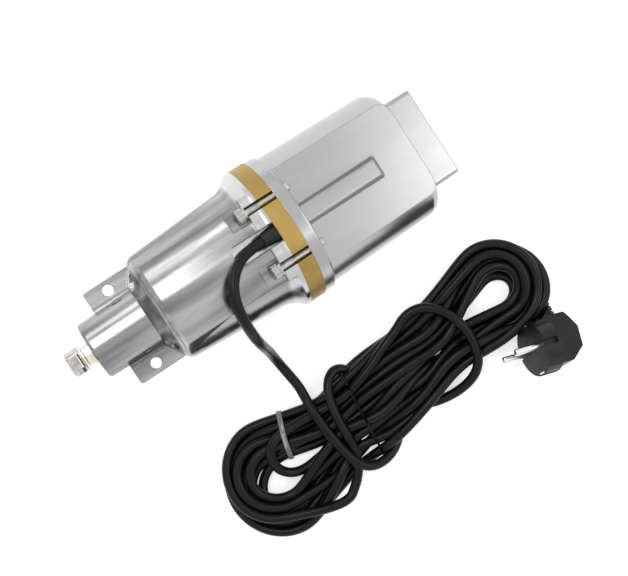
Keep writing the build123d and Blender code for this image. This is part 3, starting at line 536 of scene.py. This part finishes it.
def add_lines(material, pitch, axis, depth):
    """Fine parallel lines in relief, such as laminations, turns of wire or tool marks.

    The pitch is in millimetres. A wave texture repeats each pi / 10 of its scaled place.
    """
    tree = material.node_tree
    shader = tree.nodes["Principled BSDF"]
    wave = tree.nodes.new("ShaderNodeTexWave")
    wave.bands_direction = axis
    wave.inputs["Scale"].default_value = pi / 10 / (pitch * MM)
    wave.inputs["Distortion"].default_value = LINE_DISTORTION
    place = tree.nodes.new("ShaderNodeTexCoord").outputs["Object"]
    tree.links.new(place, wave.inputs["Vector"])
    below = shader.inputs["Normal"].links[0].from_socket
    tree.links.new(relief(tree, wave.outputs["Fac"], depth, below), shader.inputs["Normal"])
    return material


def paint_flange_highlight(material):
    """A painted highlight: the flange and its lugs are coloured brighter than the cast skin behind them,
    in place of the lamp's reflection in their flat faces.
    """
    tree = material.node_tree
    shader = tree.nodes["Principled BSDF"]
    place = tree.nodes.new("ShaderNodeTexCoord").outputs["Object"]
    axes = tree.nodes.new("ShaderNodeSeparateXYZ")
    tree.links.new(along_pump(tree, place, 1), axes.inputs["Vector"])
    highlit = spread(tree, axes.outputs["X"], 0, FLANGE_HIGHLIGHT_SHARE, FLANGE_START * MM, FLANGE_FULL * MM)
    skin_and_painted_streaks = shader.inputs["Base Color"].links[0].from_socket
    colour = colour_between(tree, highlit, FLANGE_HIGHLIGHT_COLOUR, FLANGE_HIGHLIGHT_COLOUR)
    tree.links.new(skin_and_painted_streaks, colour.node.inputs[MIX_DARK])
    tree.links.new(colour, shader.inputs["Base Color"])
    return material


# The base colour runs in wide dark and light streaks along the pump's axis: partly the casting's own
# streaky finish, partly painted reflection bands on the pump casing.
def cast_aluminium():
    material = surface(
        "cast_aluminium", (0.12, 0.12, 0.123), (0.48, 0.48, 0.483), 1, (0.14, 0.26),
        patch=75, grain=900, depth=0.00001, edge=0.0012, swell=0.0007, stretch=9)
    # The flange's painted highlight is laid over the streaked base colour.
    return paint_flange_highlight(material)


def smooth_aluminium():
    return surface(
        "smooth_aluminium", (0.38, 0.38, 0.387), (0.45, 0.45, 0.457), 1, (0.2, 0.28),
        patch=24, grain=900, depth=0.00001, edge=0.001, stretch=5)


def gold_ring():
    return surface(
        "gold_ring", (0.35, 0.235, 0.065), (0.44, 0.305, 0.09), 0.75, (0.36, 0.5),
        patch=30, grain=1500, depth=0.00002, edge=0.0003)


def turned_brass():
    material = surface(
        "turned_brass", (0.72, 0.68, 0.56), (0.86, 0.83, 0.74), 1, (0.2, 0.32),
        patch=60, grain=1200, depth=0.00001, edge=0.0003)
    return add_lines(material, 0.5, "X", 0.00003)


def zinc_steel():
    return surface(
        "zinc_steel", (0.36, 0.35, 0.33), (0.6, 0.59, 0.56), 1, (0.18, 0.3),
        patch=160, grain=2500, depth=0.00001, edge=0.0002)


def core_steel():
    material = surface(
        "core_steel", (0.20, 0.20, 0.21), (0.34, 0.34, 0.35), 1, (0.4, 0.6),
        patch=50, grain=900, depth=0.00002)
    return add_lines(material, 0.5, "Y", 0.00008)


def copper_wire():
    material = surface(
        "copper_wire", (0.48, 0.17, 0.06), (0.66, 0.27, 0.10), 1, (0.28, 0.4),
        patch=80, grain=1500, depth=0.00001)
    return add_lines(material, 0.7, "X", 0.0002)


def black_rubber():
    return surface(
        "black_rubber", (0.010, 0.010, 0.010), (0.018, 0.018, 0.01836), 0, (0.42, 0.58),
        patch=60, grain=2200, depth=0.00003, gloss=0.25)


def cord_sheath():
    return surface(
        "cord_sheath", (0.0035, 0.0037, 0.0039), (0.007, 0.0073, 0.0076), 0, (0.27, 0.4),
        patch=70, grain=1800, depth=0.00002, gloss=0.2)


def plastic(name, dark, light, polish=(0.35, 0.5)):
    return surface(
        name, dark, light, 0, polish,
        patch=70, grain=2600, depth=0.00002, edge=0.0002, gloss=0.3)


def pin_nickel():
    material = surface(
        "pin_nickel", (0.70, 0.68, 0.63), (0.84, 0.82, 0.78), 1, (0.12, 0.22),
        patch=80, grain=2000, depth=0.000005, edge=0.0003)
    return add_lines(material, 0.3, "X", 0.00001)


looks = {
    "cast_aluminium": cast_aluminium(),
    "gold_ring": gold_ring(),
    "turned_brass": turned_brass(),
    "zinc_steel": zinc_steel(),
    "core_steel": core_steel(),
    "copper_wire": copper_wire(),
    "bobbin_plastic": plastic("bobbin_plastic", (0.66, 0.63, 0.55), (0.78, 0.76, 0.68)),
    "potting_resin": plastic("potting_resin", (0.10, 0.075, 0.05), (0.17, 0.13, 0.09), (0.25, 0.4)),
    "guide_plastic": plastic("guide_plastic", (0.60, 0.60, 0.56), (0.74, 0.74, 0.70)),
    "black_rubber": black_rubber(),
    "cord_sheath": cord_sheath(),
    "tie_plastic": plastic("tie_plastic", (0.42, 0.42, 0.42), (0.56, 0.56, 0.56)),
    "tie_wire": plastic("tie_wire", (0.006, 0.006, 0.006), (0.012, 0.012, 0.012)),
    "plug_plastic": plastic("plug_plastic", (0.005, 0.005, 0.005), (0.010, 0.010, 0.010), (0.3, 0.44)),
    "pin_nickel": pin_nickel(),
}
own_looks = {"magnet_casing": smooth_aluminium()}
for part in frame["record"]["subparts"]:
    piece = nodes[part["node"]]
    piece.data.materials.clear()
    piece.data.materials.append(own_looks.get(part["node"], looks[part["material_slot"]]))
cord.data.materials.append(looks["cord_sheath"])
strap_tie.data.materials.append(looks["tie_plastic"])
wire_tie.data.materials.append(looks["tie_wire"])
flutes.data.materials.append(looks["zinc_steel"])

# The floor, the light and the camera.

FLOOR_HALF = 3
FLOOR_GLOW = 0.6
WORLD_LIGHT = 0.5


def area_light(name, place, target, size, power):
    """A lamp at a place in metres, turned to a target."""
    light = bpy.data.lights.new(name, "AREA")
    light.shape = "RECTANGLE"
    light.size, light.size_y = size
    light.energy = power
    lamp = link(name, light)
    lamp.location = place
    lamp.rotation_euler = (Vector(target) - Vector(place)).to_track_quat("-Z", "Y").to_euler()


def seen_directly(tree):
    """1 for camera, glossy and transmission rays, 0 for the light that falls on surfaces."""
    rays = tree.nodes.new("ShaderNodeLightPath")
    found = rays.outputs["Is Camera Ray"]
    for kind in ("Is Glossy Ray", "Is Transmission Ray"):
        either = tree.nodes.new("ShaderNodeMath")
        either.operation = "MAXIMUM"
        tree.links.new(found, either.inputs[0])
        tree.links.new(rays.outputs[kind], either.inputs[1])
        found = either.outputs[0]
    return found


def make_floor():
    mesh = bpy.data.meshes.new("floor")
    shape = bmesh.new()
    bmesh.ops.create_grid(shape, x_segments=1, y_segments=1, size=FLOOR_HALF)
    shape.to_mesh(mesh)
    shape.free()
    floor = link("floor", mesh)
    material = surface(
        "floor_paper", (0.88, 0.88, 0.88), (0.9, 0.9, 0.9), 0, (0.85, 0.95),
        patch=20, grain=800, depth=0.00001)
    tree = material.node_tree
    shader = tree.nodes["Principled BSDF"]
    shader.inputs["Emission Color"].default_value = (1, 1, 1, 1)
    glow = spread(tree, seen_directly(tree), 0, FLOOR_GLOW, 0, 1)
    tree.links.new(glow, shader.inputs["Emission Strength"])
    floor.data.materials.append(material)


def make_world():
    """White where it is seen, and half as bright as a light."""
    world = bpy.data.worlds.new("studio")
    bpy.context.scene.world = world
    world.use_nodes = True
    tree = world.node_tree
    background = tree.nodes["Background"]
    background.inputs["Color"].default_value = (1, 1, 1, 1)
    strength = spread(tree, seen_directly(tree), WORLD_LIGHT, 1, 0, 1)
    tree.links.new(strength, background.inputs["Strength"])


def make_camera():
    """The photograph's camera, as it was fitted to the pump's outline."""
    place = Vector((23.04, -4.52, 686.63)) * MM
    view = Vector((-0.00788, -0.06002, -0.99817))
    upward = Vector((0.54601, 0.83600, -0.05458))
    focal_pixels, frame_pixels = 992.1, 628
    data = bpy.data.cameras.new("camera")
    data.sensor_fit = "HORIZONTAL"
    data.sensor_width = 36
    data.lens = data.sensor_width * focal_pixels / frame_pixels
    data.clip_start = 0.01
    camera = link("camera", data)
    back = -view.normalized()
    side = upward.cross(back).normalized()
    axes = Matrix((side, back.cross(side), back)).transposed()
    camera.matrix_world = Matrix.Translation(place) @ axes.to_4x4()
    bpy.context.scene.camera = camera


make_floor()
make_world()
area_light("magnet_box", place=(0.80, -0.32, 1.0), target=(0.05, 0, 0.08), size=(0.85, 0.55), power=2.7)
area_light("pump_box", place=(-0.10, 0.45, 1.10), target=(-0.05, 0, 0.08), size=(0.4, 0.52), power=3.0)
area_light("side_box", place=(-0.2, 0.95, 0.65), target=(0, 0, 0.05), size=(0.8, 0.3), power=2.0)
make_camera()
bpy.context.scene.view_settings.view_transform = "Standard"
